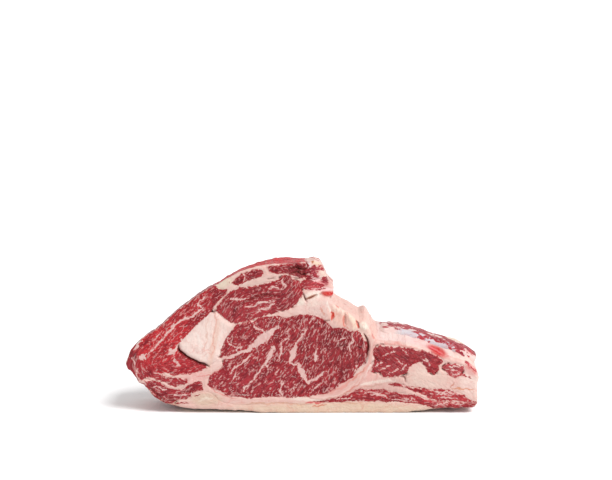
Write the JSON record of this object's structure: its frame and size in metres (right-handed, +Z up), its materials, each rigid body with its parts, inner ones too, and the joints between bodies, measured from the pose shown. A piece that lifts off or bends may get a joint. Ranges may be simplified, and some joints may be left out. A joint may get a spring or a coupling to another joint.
{
  "type": "bone-in rib steak",
  "caption": "Raw bone-in rib steak, cut thick: marbled eye muscle, cap, pale fat kernel, fat seams, rib and chine bone; stands upright on its flat back fat.",
  "frame": {"origin": "middle of the footprint of the steak's bounding box, on the surface it stands on", "axes": "+X runs from the cap muscle's tip to the sawn rib end, +Y from the shown cut face to the other cut face, +Z up from the back fat to the chine"},
  "size_m": [0.3078, 0.0516, 0.1353],
  "materials": {
    "lean": "raw red muscle, moist, with fine pale marbling",
    "bright_lean": "brighter raw red muscle, moist, with pale seams",
    "pale_fat": "pale pink-white fat, slightly moist",
    "cream_fat": "cream outer fat, waxy",
    "bone": "pink-white bone under a thin moist membrane"
  },
  "bodies": {
    "root": {"rib_eye": "lean", "cap_muscle": "bright_lean", "lower_muscle": "bright_lean", "upper_muscle": "lean", "spindle_muscle": "lean", "crest_muscle": "lean", "intercostal_muscle": "lean", "end_muscle": "lean", "upper_strip": "bright_lean", "lower_strip": "bright_lean", "fat_kernel": "pale_fat", "seam_fat": "pale_fat", "upper_fat": "cream_fat", "back_fat": "cream_fat", "rib_bone": "bone", "chine_bone": "bone"}
  },
  "joints": []
}
